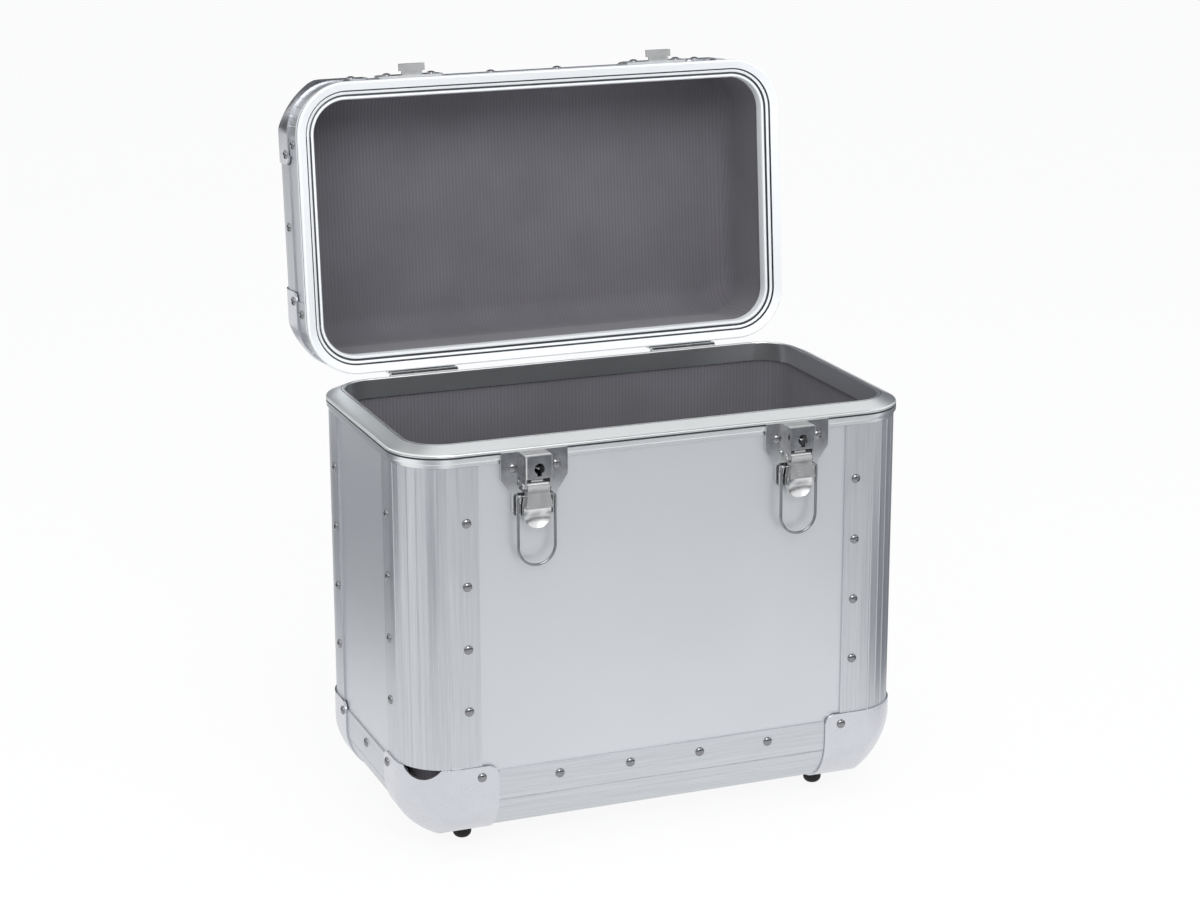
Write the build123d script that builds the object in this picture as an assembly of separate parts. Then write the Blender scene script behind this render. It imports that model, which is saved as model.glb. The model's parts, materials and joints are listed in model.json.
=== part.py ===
from build123d import *
from math import cos, radians, sin, sqrt
import os

# Record carrying case, in millimetres: X across the case, Y from the latches to the hinges, Z up.
# Every piece is drawn with the lid shut, then the lid is swung open and the case is centred on its footprint.
# "out" is a distance outward from a wall's face, and "above" or "below" is measured from the parting line.

# Case
case_width = 360
case_depth = 200
body_height = 269.5       # underside of the floor board to the parting line
lid_height = 84           # parting line to the outside of the lid board
foot_height = 14
lid_open_angle = 95
fit_gap = 0.1             # between pieces of one body that butt or slot together
bevel_share = 2 - sqrt(2) # of a round's radius, for a bevel that touches it

# Boards and linings
body_board = 6.5
lid_board = 3.5
wall_inset = 8.5          # wall face to the inside of the lining
lining_bevel_wall = 1.8   # lining where it passes over a bevel or inside a ball corner
board_edge_inset = 36.2   # wall corner to the edge of a board in its profile's slot

# Ribbed corner profile
profile_radius = 34       # centre line of the round corner, measured at the wall faces
profile_skin = 1.2
profile_round_wall = 1.6
profile_web = 2
profile_outer_flange = 48.5
profile_inner_flange = 46
inner_flange_wall = 0.8
rib_count = 8
groove_depth = 0.3
groove_half_angle = 0.9

# Ball corners
cap_reach_x = 60
cap_reach_y = 55
cap_reach_z = 53
cap_out = 2.4
cap_wall = 1.6
cap_flats = 3             # flats inside each round edge
cap_tab_radius = 7
ball_centre_inset = (54, 50, 47)
ball_radius = 62
dip_width = 28
dip_depth = 7

# Rim frames
rim_skin = 1.2
rim_bead_out = 2.7
rim_skirt = 9.2           # parting line to the lower edge of the body rim
rim_bead_height = 6.8
rim_slope_run = 9.5
rim_crown = 4.6           # crown of the body rim above the parting line
rim_inner_wall = 1.5
rim_slot_gap = 0.2
rim_part_gap = 0.35       # between the two rims when the lid is shut
lid_rim_skirt = 13
lid_rim_bead_top = 7.1
lid_slot_floor = 8.2
lid_groove_top = 7.0
lid_bead_low = 5.2
lid_slope_short = 0.4     # the lid rim's slope stops short of the body rim's
lid_bead_width = 1.4
lid_hem_bevel = 0.8
rim_groove_depth = 1.1
rim_groove_half = 0.6
body_groove_below = 1.5
lid_groove_above = 1.8

# Rivets
rivet_radius = 3.1
rivet_height = 1.7
rivet_sides = 8           # the dome is drawn as a tapered button
rivet_taper = 32
rivet_inset = 40.2        # wall corner to a rivet line on a profile
column_first = 92.7       # lowest rivet of a column above the floor
column_pitch = 43.2
column_rivets = 4
row_pitch = 51
cap_rivet_side = 48
cap_rivet_end = 45.6
lid_post_rivet = 22       # rivet in a lid corner profile, above the parting line

# Feet
foot_inset_x = 48
foot_inset_y = 42
foot_base_radius = 9.5
foot_base_height = 5
foot_nose_radius = 6
foot_tip_share = 0.6      # of the nose radius, where it meets the floor
foot_sides = 12

# Hinges
hinge_inset = 80          # side wall to the middle of a hinge
hinge_width = 50
hinge_out = 6.5           # hinge axis outward from the back wall
hinge_above = 0.2
hinge_leaf = 1.6
hinge_reach = 28
knuckle_radius = 3.4
knuckle_count = 3
knuckle_gap = 0.3
hinge_pin_radius = 2
running_gap = 0.05        # radial clearance of every pin in its bore
heel_length = 8
heel_wall = 1.6
joggle_body = 10.4        # below the parting line, where the body leaf has reached the wall
joggle_lid = 14.2
joggle_run = 2.6
hinge_rivet_pitch = 17

# Draw latches
latch_inset = 86.2        # side wall to the middle of a latch
latch_top = 1.8           # plate's top edge below the parting line
plate_out = 4.0
plate_wall = 1.2
plate_half = 23
plate_shoulder = 18
plate_waist = 15.85
plate_taper_end = 28.7
plate_length = 43.6
plate_corner = 5
latch_rivet_x = 14.9
latch_rivet_below = 10.6
box_half = 9.2
box_top = 1.6
box_bottom = 17.0
box_out = 13.5
box_wall = 1.2
box_bevel = 0.8
keyhole_radius = 3.65
keyhole_below = 10.3
key_slot = 3
key_slot_end = 15.4
key_post_radius = 0.8
key_post_sides = 6
pivot_below = 22.5
pivot_out = 8
pivot_pin_radius = 1.4
pivot_head_radius = 2.3
pivot_head = 1
pivot_head_taper = 30
ear_inside = 7.9
ear_wall = 1.4
ear_top = 17.0
ear_bottom = 26.5
ear_out = 11.5
ear_bevel = 2.8

# Latch lever
lever_wall = 1.2
lever_half_top = 7.6
lever_half_lip = 9.35
lever_lip = 36.8
lever_lip_out = 14
lever_tip = 51.3
lever_barrel = 2.6
lever_tail = 3.5
lever_tail_wall = 1.4
lever_back_out = 5.5
lever_top = 1             # the cheeks' top edge above the lever pin
lever_front_out = 3.6     # front edge outward from the lever pin
lever_front_lean = 0.2
lever_bend = 4            # below the pin, where the front starts to slope out
lever_back_bend = 3
lever_flare_gap = 0.4     # below the ears, where the cheeks start to flare
tab_wall = 1.4            # finger tab, where the scoop is deepest
tab_rise = 4

# Bail
bail_wire = 0.95
bail_sides = 6
bail_half = 12.8
bail_pivot_drop = 7       # bail pivot below the lever pin
bail_pivot_out = 7.2
bail_bottom = 77.8
bail_end_inset = 6.2
bail_hole_sides = 8

# Lock bolt
bolt_half = 4
bolt_wall = 1.6
bolt_out = 4.4
bolt_top = 4.4
bolt_tip = 17.3
bolt_throw = 3
bolt_gap = 0.3

# Catch
catch_half = 23.5
catch_low = 15
catch_high = 31
catch_out = 4
catch_wall = 1.5
hook_half = 9.5
hook_neck_half = 7.5
hook_out = 12
hook_rise = 4.1
hook_corner = 3
catch_corner = 2.2
hook_neck_out = 7
catch_rivet_x = 16.5

# Carrying handle, on the lid
grip_length = 112
grip_width = 20
grip_thickness = 15
grip_reach = 36           # handle axis to the middle of the grip
arm_width = 13
arm_thickness = 9
handle_axis_out = 12.5
handle_pin_radius = 2.5
bracket_wall = 4
bracket_foot_length = 44
bracket_foot_width = 18
bracket_foot_wall = 2.4
bracket_gap = 0.4
bracket_corner = 5
bracket_rivet_inset = 8
grip_round = 6.3

# Derived places
floor_z = foot_height
parting_z = floor_z + body_height
lid_top_z = parting_z + lid_height
half_width = case_width / 2
half_depth = case_depth / 2
front = Vector(0, -1, 0)
back = Vector(0, 1, 0)
left = Vector(-1, 0, 0)
right = Vector(1, 0, 0)
up = Vector(0, 0, 1)
down = Vector(0, 0, -1)
hinge_x = half_width - hinge_inset
latch_x = half_width - latch_inset
foot_x = half_width - foot_inset_x
foot_y = half_depth - foot_inset_y
hinge_y = half_depth + hinge_out
hinge_z = parting_z + hinge_above
pivot_y = -half_depth - pivot_out
pivot_z = parting_z - latch_top - pivot_below
bail_pivot_y = -half_depth - bail_pivot_out
bail_pivot_z = pivot_z - bail_pivot_drop
handle_z = lid_top_z + handle_axis_out
corner_signs = {"front_left": (-1, -1), "front_right": (1, -1), "back_left": (-1, 1), "back_right": (1, 1)}


def block(x_range, y_range, z_range):
    low = Vector(x_range[0], y_range[0], z_range[0])
    size = Vector(x_range[1], y_range[1], z_range[1]) - low
    return Pos(low) * Box(*size, align=(Align.MIN, Align.MIN, Align.MIN))


def side_prism(points, x_range):
    """A (y, z) outline carried across the case between two x places."""
    plane = Plane(origin=(x_range[0], 0, 0), x_dir=(0, 1, 0), z_dir=(1, 0, 0))
    return extrude(plane * make_face(Polyline(*points, close=True)), amount=x_range[1] - x_range[0])


def rod(centre, radius, x_range):
    plane = Plane(origin=(x_range[0], centre[0], centre[1]), z_dir=(1, 0, 0))
    return extrude(plane * Circle(radius), amount=x_range[1] - x_range[0])


# ---------------------------------------------------------------- boards


def wall_board(name, thickness, z_range):
    long_half = half_width - board_edge_inset
    short_half = half_depth - board_edge_inset
    if name in ("front", "back"):
        inner, outer = half_depth - thickness, half_depth
        y_range = (-outer, -inner) if name == "front" else (inner, outer)
        return block((-long_half, long_half), y_range, z_range)
    inner, outer = half_width - thickness, half_width
    x_range = (-outer, -inner) if name == "left" else (inner, outer)
    return block(x_range, (-short_half, short_half), z_range)


def flat_board(z_range):
    long_half = half_width - board_edge_inset
    short_half = half_depth - board_edge_inset
    return block((-long_half, long_half), (-short_half, short_half), z_range)


# ---------------------------------------------------------------- ribbed profiles


def arc_point(radius, angle):
    centre = profile_radius
    return (centre + radius * cos(radians(angle)), centre + radius * sin(radians(angle)))


def profile_section(board):
    """Section in the quarter plane inside two walls, with the walls' corner at the origin."""
    skin_radius = profile_radius + profile_skin
    bore_radius = skin_radius - profile_round_wall
    flange = board + inner_flange_wall
    web_end = profile_radius + profile_web
    ribs = []
    for k in range(1, rib_count):
        angle = 270 - 90 * k / rib_count
        ribs.append(arc_point(skin_radius, angle + groove_half_angle))
        ribs.append(arc_point(skin_radius - groove_depth, angle))
        ribs.append(arc_point(skin_radius, angle - groove_half_angle))
    bore_start = arc_point(bore_radius, 180)
    bore_end = arc_point(bore_radius, 270)
    outside = [(profile_outer_flange, -profile_skin), arc_point(skin_radius, 270), *ribs]
    outside += [arc_point(skin_radius, 180), (-profile_skin, profile_outer_flange), (0, profile_outer_flange)]
    slot = [(0, web_end), (board, web_end), (board, profile_inner_flange), (flange, profile_inner_flange)]
    slot += [(flange, profile_radius), bore_start]
    other_slot = [(b, a) for a, b in reversed(slot[:-1])]
    outline = Polyline(*outside, *slot)
    outline += ThreePointArc(bore_start, arc_point(bore_radius, 225), bore_end)
    outline += Polyline(bore_end, *other_slot, (profile_outer_flange, 0), outside[0])
    return make_face(outline)


def profile(board, start, inward, other, length):
    """A profile along inward x other, from the wall corner at start."""
    plane = Plane(origin=start, x_dir=inward, z_dir=inward.cross(other))
    return extrude(plane * profile_section(board), amount=length)


def upright_profile(board, signs, z_range):
    sx, sy = signs
    inward, other = Vector(-sx, 0, 0), Vector(0, -sy, 0)
    if sx * sy < 0:
        inward, other = other, inward
    start = (sx * half_width, sy * half_depth, z_range[0])
    return profile(board, start, inward, other, z_range[1] - z_range[0])


def edge_profile(board, side, z, inward_z):
    """A profile along the floor's or the lid's edge on one side."""
    along_x = side in (front, back)
    half_length = half_width - cap_reach_x - fit_gap if along_x else half_depth - cap_reach_y - fit_gap
    wall = half_depth if along_x else half_width
    inward = side * -1
    along = inward.cross(inward_z)
    start = side * wall - along * half_length + Vector(0, 0, z)
    return profile(board, start, inward, inward_z, 2 * half_length)


# ---------------------------------------------------------------- ball corners


def cap_face(reach_a, reach_b):
    """Outline of one wall of a cap: round at the case's edge, with a round tab corner."""
    low = -cap_out
    near = profile_radius + cap_out
    mid = profile_radius - near * sqrt(0.5)
    tab = cap_tab_radius * (1 - sqrt(0.5))
    far_a, far_b = reach_a - cap_tab_radius, reach_b - cap_tab_radius
    outline = Polyline((far_a, reach_b), (low, reach_b), (low, profile_radius))
    outline += ThreePointArc((low, profile_radius), (mid, mid), (profile_radius, low))
    outline += Polyline((profile_radius, low), (reach_a, low), (reach_a, far_b))
    outline += ThreePointArc((reach_a, far_b), (reach_a - tab, reach_b - tab), (far_a, reach_b))
    return make_face(outline)


def cap_hollow_face(reach):
    """Outline inside one wall of a cap, with a few flats where the outside is round."""
    near = profile_radius + cap_out - cap_wall
    points = [(reach, reach)]
    for k in range(cap_flats + 1):
        points.append(arc_point(near, 180 + 90 * k / cap_flats))
    points.insert(1, (points[1][0], reach))
    points.append((reach, points[-1][1]))
    return make_face(Polyline(*points, close=True))


def crossed(plan_face, front_face, side_face, start, reach):
    """Three outlines, each carried across the cap and kept where they meet."""
    front_plane = Plane(origin=(0, reach[1], 0), x_dir=(1, 0, 0), z_dir=(0, -1, 0))
    side_plane = Plane(origin=(start, 0, 0), x_dir=(0, 1, 0), z_dir=(1, 0, 0))
    plan = extrude(Plane((0, 0, start)) * plan_face, amount=reach[2] - start)
    face = extrude(front_plane * front_face, amount=reach[1] - start)
    side = extrude(side_plane * side_face, amount=reach[0] - start)
    return plan & face & side


def ball_corner(dipped=False):
    """A cap with its case corner at the origin and the case towards +X, +Y and +Z."""
    rx, ry, rz = cap_reach_x, cap_reach_y, cap_reach_z
    outside = crossed(cap_face(rx, ry), cap_face(rx, rz), cap_face(ry, rz), -cap_out, (rx, ry, rz))
    ball_centre = Pos(*ball_centre_inset)
    outside &= ball_centre * Sphere(ball_radius)
    far = 2 * max(rx, ry, rz)
    hollow_face = cap_hollow_face(far)
    hollow = crossed(hollow_face, hollow_face, hollow_face, cap_wall - cap_out, (far, far, far))
    cap = outside - (hollow & ball_centre * Sphere(ball_radius - cap_wall))
    if dipped:
        radius = (dip_width ** 2 / 4 + dip_depth ** 2) / (2 * dip_depth)
        centre = Vector(0, 0, cap_reach_z - dip_depth + radius)
        cap -= Plane(origin=centre, z_dir=(1, 1, 0)) * Cylinder(radius, 2 * profile_radius)
    return cap


def set_corner(cap, signs, z, flip):
    sx, sy = signs
    if sx > 0:
        cap = mirror(cap, Plane.YZ)
    if sy > 0:
        cap = mirror(cap, Plane.XZ)
    if flip:
        cap = mirror(cap, Plane.XY)
    return Pos(sx * half_width, sy * half_depth, z) * cap


# ---------------------------------------------------------------- rims and linings


def bent_frame(points):
    """An (out, above) outline carried round the walls, with its four corners bent to the profiles' radius."""
    x, y = half_width - profile_radius, half_depth - profile_radius
    outline = make_face(Polyline(*points, close=True))
    side = Plane(origin=(half_width, y, parting_z), x_dir=(1, 0, 0), z_dir=(0, -1, 0)) * outline
    end = Plane(origin=(0, half_depth, parting_z), x_dir=(0, 1, 0), z_dir=(1, 0, 0)) * outline
    quarter = extrude(side, amount=y) + extrude(end, amount=x) + revolve(side, Axis((x, y, 0), (0, 0, 1)), 90)
    half = quarter + mirror(quarter, Plane.YZ)
    return half + mirror(half, Plane.XZ)


def groove_points(middle, sense):
    """A V-shaped groove in the face of a rim's bead, met going down (-1) or up (1)."""
    start, end = middle - sense * rim_groove_half, middle + sense * rim_groove_half
    return [(rim_bead_out, start), (rim_bead_out - rim_groove_depth, middle), (rim_bead_out, end)]


def body_rim():
    low = -rim_skirt
    inner = -(wall_inset + rim_slot_gap)
    hem = inner - rim_inner_wall
    points = [(rim_skin, low), (rim_skin, -rim_bead_height), (rim_bead_out, -rim_bead_height)]
    points += groove_points(-body_groove_below, 1)
    points += [(rim_bead_out, 0), (rim_bead_out - rim_slope_run, rim_crown), (hem, rim_crown), (hem, low)]
    points += [(inner, low), (inner, -rim_inner_wall), (0, -rim_inner_wall), (0, low)]
    return bent_frame(points)


def lid_rim():
    high = lid_rim_skirt
    inner = -(wall_inset + rim_slot_gap)
    hem = inner - rim_inner_wall
    slope_end = rim_bead_out - rim_slope_run + lid_slope_short
    slope_top = rim_part_gap + (rim_bead_out - slope_end) * rim_crown / rim_slope_run
    bead_end = slope_end - lid_bead_width
    points = [(0, high), (rim_skin, high), (rim_skin, lid_rim_bead_top), (rim_bead_out, lid_rim_bead_top)]
    points += groove_points(lid_groove_above, -1)
    points += [(rim_bead_out, rim_part_gap), (slope_end, slope_top), (slope_end, lid_groove_top)]
    points += [(bead_end, lid_groove_top), (bead_end, lid_bead_low), (hem + lid_hem_bevel, lid_bead_low)]
    points += [(hem, lid_bead_low + lid_hem_bevel), (hem, high), (inner, high)]
    points += [(inner, lid_slot_floor), (0, lid_slot_floor)]
    return bent_frame(points)


def lining_block(inset, height):
    """A plain block between the walls, with its floor at z = 0."""
    seat = (Align.CENTER, Align.CENTER, Align.MIN)
    return Box(case_width - 2 * inset, case_depth - 2 * inset, height, align=seat)


def lining(board, height):
    """A lining with the outside of its floor's board at z = 0 and its mouth at the given height."""
    outer = board + inner_flange_wall
    inner_radius = profile_radius - wall_inset
    inner_bevel = inner_radius * bevel_share
    outer_bevel = 2 * (wall_inset - outer) + inner_bevel - lining_bevel_wall * sqrt(2)
    block = lining_block(outer, height - outer)
    tray = chamfer(block.edges().filter_by(Axis.Z) + block.faces().sort_by(Axis.Z)[0].edges(), outer_bevel)
    hollow = fillet(lining_block(wall_inset, height).edges().filter_by(Axis.Z), inner_radius)
    hollow = chamfer(hollow.faces().sort_by(Axis.Z)[0].edges(), inner_bevel)
    return Pos(0, 0, outer) * tray - Pos(0, 0, wall_inset) * hollow


# ---------------------------------------------------------------- rivets and feet


def rivet(place, outward):
    head = extrude(RegularPolygon(rivet_radius, rivet_sides), amount=rivet_height, taper=rivet_taper)
    return Plane(origin=place, z_dir=outward) * head


def wall_rivets(side, along_places, z, out):
    """Rivets at one height on one wall."""
    wall = half_depth if side in (front, back) else half_width
    along = right if side in (front, back) else back
    heads = []
    for place in along_places:
        heads.append(rivet(side * (wall + out) + along * place + up * z, side))
    return heads


def body_rivets():
    heads = []
    cap_z = floor_z + cap_rivet_end
    for side in (front, back, left, right):
        half = half_width if side in (front, back) else half_depth
        for k in range(column_rivets):
            z = floor_z + column_first + k * column_pitch
            heads += wall_rivets(side, (rivet_inset - half, half - rivet_inset), z, profile_skin)
        heads += wall_rivets(side, (cap_rivet_side - half, half - cap_rivet_side), cap_z, cap_out)
        heads += wall_rivets(side, row_places(side), floor_z + rivet_inset, profile_skin)
    plate_z = parting_z - latch_top - latch_rivet_below
    for sign in (-1, 1):
        places = [sign * latch_x - latch_rivet_x, sign * latch_x + latch_rivet_x]
        heads += wall_rivets(front, places, plate_z, plate_out)
        heads += hinge_rivets(sign, -1)
    return Compound(heads)


def row_places(side):
    if side in (front, back):
        return [(k - 1.5) * row_pitch for k in range(4)]
    return [0]


def hinge_rivets(sign, sense):
    """Rivets of one hinge leaf; sense is -1 on the body and +1 on the lid."""
    places = [sign * hinge_x + k * hinge_rivet_pitch for k in (-1, 0, 1)]
    z = parting_z + sense * (joggle_lid + hinge_reach) / 2
    return wall_rivets(back, places, z, hinge_leaf + fit_gap)


def lid_rivets():
    heads = []
    top = lid_top_z
    for side in (front, back, left, right):
        half = half_width if side in (front, back) else half_depth
        wall = half_depth if side in (front, back) else half_width
        along = right if side in (front, back) else back
        ends = (rivet_inset - half, half - rivet_inset)
        heads += wall_rivets(side, ends, parting_z + lid_post_rivet, profile_skin)
        cap_places = (cap_rivet_side - half, half - cap_rivet_side)
        heads += wall_rivets(side, cap_places, top - cap_rivet_end, cap_out)
        heads += wall_rivets(side, row_places(side), top - rivet_inset, profile_skin)
        for place in row_places(side):
            heads.append(rivet(side * (wall - rivet_inset) + along * place + up * (top + profile_skin), up))
    for sx, sy in corner_signs.values():
        x = sx * (half_width - cap_rivet_side)
        heads.append(rivet((x, sy * (half_depth - cap_rivet_end), top + cap_out), up))
    catch_z = parting_z + (catch_low + catch_high) / 2
    for sign in (-1, 1):
        places = [sign * latch_x - catch_rivet_x, sign * latch_x + catch_rivet_x]
        heads += wall_rivets(front, places, catch_z, catch_out)
        heads += hinge_rivets(sign, 1)
        for end in (-1, 1):
            y = end * bracket_rivet_y()
            heads.append(rivet((sign * bracket_x(), y, top + bracket_foot_wall), up))
    return Compound(heads)


def foot(x, y):
    """Foot with a flared base and a nose that narrows to the floor."""
    top = floor_z - cap_out
    tip = RegularPolygon(foot_nose_radius * foot_tip_share, foot_sides)
    neck = Pos(0, 0, top - foot_base_height) * RegularPolygon(foot_nose_radius, foot_sides)
    base = Pos(0, 0, top) * RegularPolygon(foot_base_radius, foot_sides)
    return Pos(x, y, 0) * (loft([tip, neck]) + loft([neck, base]))


def rubber_feet():
    return Compound([foot(sx * foot_x, sy * foot_y) for sx, sy in corner_signs.values()])


# ---------------------------------------------------------------- hinges


def knuckle_ranges(centre, wanted):
    """The x ranges of the even or the odd knuckles."""
    pitch = hinge_width / knuckle_count
    start = centre - hinge_width / 2
    ranges = []
    for k in range(knuckle_count):
        if k % 2 == wanted:
            ranges.append((start + k * pitch + knuckle_gap / 2, start + (k + 1) * pitch - knuckle_gap / 2))
    return ranges


def hinge_leaf_sheet(centre, joggle, sense):
    """Sheet from the knuckles over the rim to the wall; sense is -1 down the body and +1 up the lid."""
    near = half_depth + hinge_out - knuckle_radius
    wall = half_depth + fit_gap
    start = parting_z + hinge_above + sense * (knuckle_radius + knuckle_gap)
    bend = parting_z + sense * (joggle - joggle_run)
    seat = parting_z + sense * joggle
    end = parting_z + sense * hinge_reach
    points = [(near, start), (near + hinge_leaf, start), (near + hinge_leaf, bend), (wall + hinge_leaf, seat)]
    points += [(wall + hinge_leaf, end), (wall, end), (wall, seat), (near, bend)]
    return side_prism(points, (centre - hinge_width / 2, centre + hinge_width / 2))


def hinge_knuckles(centre, wanted, sense):
    """Knuckles with the tangent strip that ties them to their leaf."""
    near = half_depth + hinge_out - knuckle_radius
    start = hinge_z + sense * (knuckle_radius + knuckle_gap)
    shape = None
    for x_range in knuckle_ranges(centre, wanted):
        strip = block(x_range, (near, near + hinge_leaf), sorted((hinge_z, start)))
        piece = rod((hinge_y, hinge_z), knuckle_radius, x_range) + strip
        shape = piece if shape is None else shape + piece
    return shape


def hinge_bore(centre):
    reach = hinge_width / 2 + 1
    return rod((hinge_y, hinge_z), hinge_pin_radius + running_gap, (centre - reach, centre + reach))


def body_hinge_leaf(centre):
    leaf = hinge_leaf_sheet(centre, joggle_body, -1) + hinge_knuckles(centre, 0, -1)
    return leaf - hinge_bore(centre)


def lid_hinge_leaf(centre):
    leaf = hinge_leaf_sheet(centre, joggle_lid, 1) + hinge_knuckles(centre, 1, 1)
    heel_range = (hinge_z - heel_wall / 2, hinge_z + heel_wall / 2)
    for x_range in knuckle_ranges(centre, 1):
        leaf += block(x_range, (hinge_y, hinge_y + heel_length), heel_range)
    return leaf - hinge_bore(centre)


def hinge_pins():
    pins = []
    for sign in (-1, 1):
        x_range = (sign * hinge_x - hinge_width / 2, sign * hinge_x + hinge_width / 2)
        pins.append(rod((hinge_y, hinge_z), hinge_pin_radius, x_range))
    return Compound(pins)


# ---------------------------------------------------------------- draw latches
# These are drawn at x = 0 with outlines in (x, z) or (y, z), then set at their places.


def latch_z(below):
    return parting_z - latch_top - below


def out_y(out):
    return -half_depth - out


def front_sheet(face, out_range):
    """A face drawn in (x, z), made solid between two distances out from the front wall."""
    plane = Plane(origin=(0, out_y(out_range[0]), 0), x_dir=(1, 0, 0), z_dir=(0, -1, 0))
    return extrude(plane * face, amount=out_range[1] - out_range[0])


def plate_outline(inset):
    half, waist = plate_half - inset, plate_waist - inset
    points = [(-half, latch_z(inset)), (half, latch_z(inset)), (half, latch_z(plate_shoulder))]
    points += [(waist, latch_z(plate_taper_end)), (waist, latch_z(plate_length - inset))]
    points += [(-waist, latch_z(plate_length - inset)), (-waist, latch_z(plate_taper_end))]
    points += [(-half, latch_z(plate_shoulder))]
    face = make_face(Polyline(*points, close=True))
    low = sorted(face.vertices(), key=lambda v: v.Y)[:2]
    return fillet(low, plate_corner - inset)


def keyhole():
    hole = Pos(0, latch_z(keyhole_below)) * Circle(keyhole_radius)
    slot_length = key_slot_end - keyhole_below
    slot = Pos(0, latch_z(keyhole_below + slot_length / 2)) * Rectangle(key_slot, slot_length)
    return hole + slot


def latch_base():
    """Dished plate with the lock housing, the lever's ears and the key post."""
    rim_clear = rim_skirt - latch_top + fit_gap
    plate = front_sheet(plate_outline(0), (0, plate_out))
    plate -= front_sheet(plate_outline(plate_wall), (-1, plate_out - plate_wall))
    plate -= block((-case_width, case_width), (out_y(plate_out - plate_wall), out_y(-1)),
                   (latch_z(rim_clear), latch_z(-1)))
    seat = plate_out - plate_wall / 2
    box = block((-box_half, box_half), (out_y(box_out), out_y(seat)), (latch_z(box_bottom), latch_z(box_top)))
    box = chamfer(box.edges().filter_by(Axis.Z), box_bevel)
    inside = box_half - box_wall
    box -= block((-inside, inside), (out_y(box_out - box_wall), out_y(plate_out)),
                 (latch_z(box_bottom - box_wall), latch_z(box_top + box_wall)))
    box -= front_sheet(keyhole(), (plate_out + box_wall, box_out + box_wall))
    tongue = bolt_half + bolt_gap
    box -= block((-tongue, tongue), (out_y(bolt_out + bolt_wall + bolt_gap), out_y(plate_out)),
                 (latch_z(box_bottom + box_wall), latch_z(box_bottom - 2 * box_wall)))
    post_length = box_out - plate_out - box_wall / 2
    post_face = Pos(0, latch_z(keyhole_below)) * RegularPolygon(key_post_radius, key_post_sides)
    post = front_sheet(post_face, (seat, seat + post_length))
    ears = None
    for sign in (-1, 1):
        x_range = sorted((sign * ear_inside, sign * (ear_inside + ear_wall)))
        ear = block(x_range, (out_y(ear_out), out_y(seat)), (latch_z(ear_bottom), latch_z(ear_top)))
        front_edges = ear.edges().filter_by(Axis.X).sort_by(Axis.Y)[:2]
        ear = chamfer(front_edges.sort_by(Axis.Z)[0], ear_bevel)
        ears = ear if ears is None else ears + ear
    reach = ear_inside + 2 * ear_wall
    bore = rod((pivot_y, pivot_z), pivot_pin_radius + running_gap, (-reach, reach))
    return plate + box + post + ears - bore


def latch_pin():
    reach = ear_inside + ear_wall
    pin = rod((pivot_y, pivot_z), pivot_pin_radius, (-reach, reach))
    for sign in (-1, 1):
        seat = Plane(origin=(sign * reach, pivot_y, pivot_z), x_dir=(0, 1, 0), z_dir=(sign, 0, 0))
        outline = seat * RegularPolygon(pivot_head_radius, rivet_sides)
        pin += extrude(outline, amount=pivot_head, taper=pivot_head_taper)
    return pin


def lever_side():
    """The lever's outline from the side, in (y, z)."""
    lip_z = latch_z(lever_lip)
    top_z = latch_z(pivot_below - lever_top)
    front_out = pivot_out + lever_front_out
    outer = [(out_y(front_out), top_z)]
    outer += [(out_y(front_out + lever_front_lean), latch_z(pivot_below + lever_bend))]
    outer += [(out_y(lever_lip_out), lip_z)]
    inner = [(out_y(lever_back_out), lip_z), (out_y(lever_back_out), latch_z(pivot_below + lever_back_bend))]
    inner += [(out_y(pivot_out - lever_top), top_z)]
    return outer + inner


def latch_lever():
    """Folded lever: a face between two cheeks, a barrel on the pin with a tail, and a scooped finger tab."""
    above = latch_z(pivot_below - 2 * lever_barrel)
    shell = side_prism(lever_side(), (-lever_half_lip, lever_half_lip))
    flare = latch_z(ear_bottom + lever_flare_gap)
    taper = [(-lever_half_top, above), (lever_half_top, above), (lever_half_top, flare)]
    taper += [(lever_half_lip, latch_z(lever_lip)), (-lever_half_lip, latch_z(lever_lip))]
    taper += [(-lever_half_top, flare)]
    shell &= front_sheet(make_face(Polyline(*taper, close=True)), (0, 2 * lever_lip_out))
    top, bend, lip = lever_side()[:3]
    hollow = [(top[0] + lever_wall, above), (bend[0] + lever_wall, bend[1])]
    hollow += [(lip[0] + lever_wall, lip[1] + lever_wall), (out_y(0), lip[1] + lever_wall), (out_y(0), above)]
    inside = lever_half_top - lever_wall
    shell -= side_prism(hollow, (-inside, inside))
    barrel = rod((pivot_y, pivot_z), lever_barrel, (-lever_half_top, lever_half_top))
    tail_half = lever_tail_wall / 2
    tail_range = (pivot_y - tail_half, pivot_y + tail_half)
    tail = block((-bolt_half, bolt_half), tail_range, (pivot_z, pivot_z + lever_tail))
    lever = shell + barrel + tail + finger_tab()
    lever -= rod((pivot_y, pivot_z), pivot_pin_radius + running_gap, (-lever_half_lip, lever_half_lip))
    return lever - bail_holes()


def bail_holes():
    """Holes in the cheeks, with flats that clear the wire as it turns."""
    radius = (bail_wire + running_gap) / cos(radians(180 / bail_hole_sides))
    plane = Plane(origin=(-lever_half_lip, bail_pivot_y, bail_pivot_z), z_dir=(1, 0, 0))
    return extrude(plane * RegularPolygon(radius, bail_hole_sides), amount=2 * lever_half_lip)


def finger_tab():
    """A rounded tab below the lip, scooped out for a fingertip."""
    top = latch_z(lever_lip - lever_wall)
    straight = latch_z(lever_tip - lever_half_lip)
    outline = Pos(0, (top + straight) / 2) * Rectangle(2 * lever_half_lip, top - straight)
    outline += Pos(0, straight) * Circle(lever_half_lip)
    tab = front_sheet(outline, (lever_back_out, lever_back_out + tab_rise))
    scoop_radius = 2 * lever_half_lip
    return tab - Pos(0, out_y(lever_back_out + tab_wall + scoop_radius), straight) * Sphere(scoop_radius)


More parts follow.
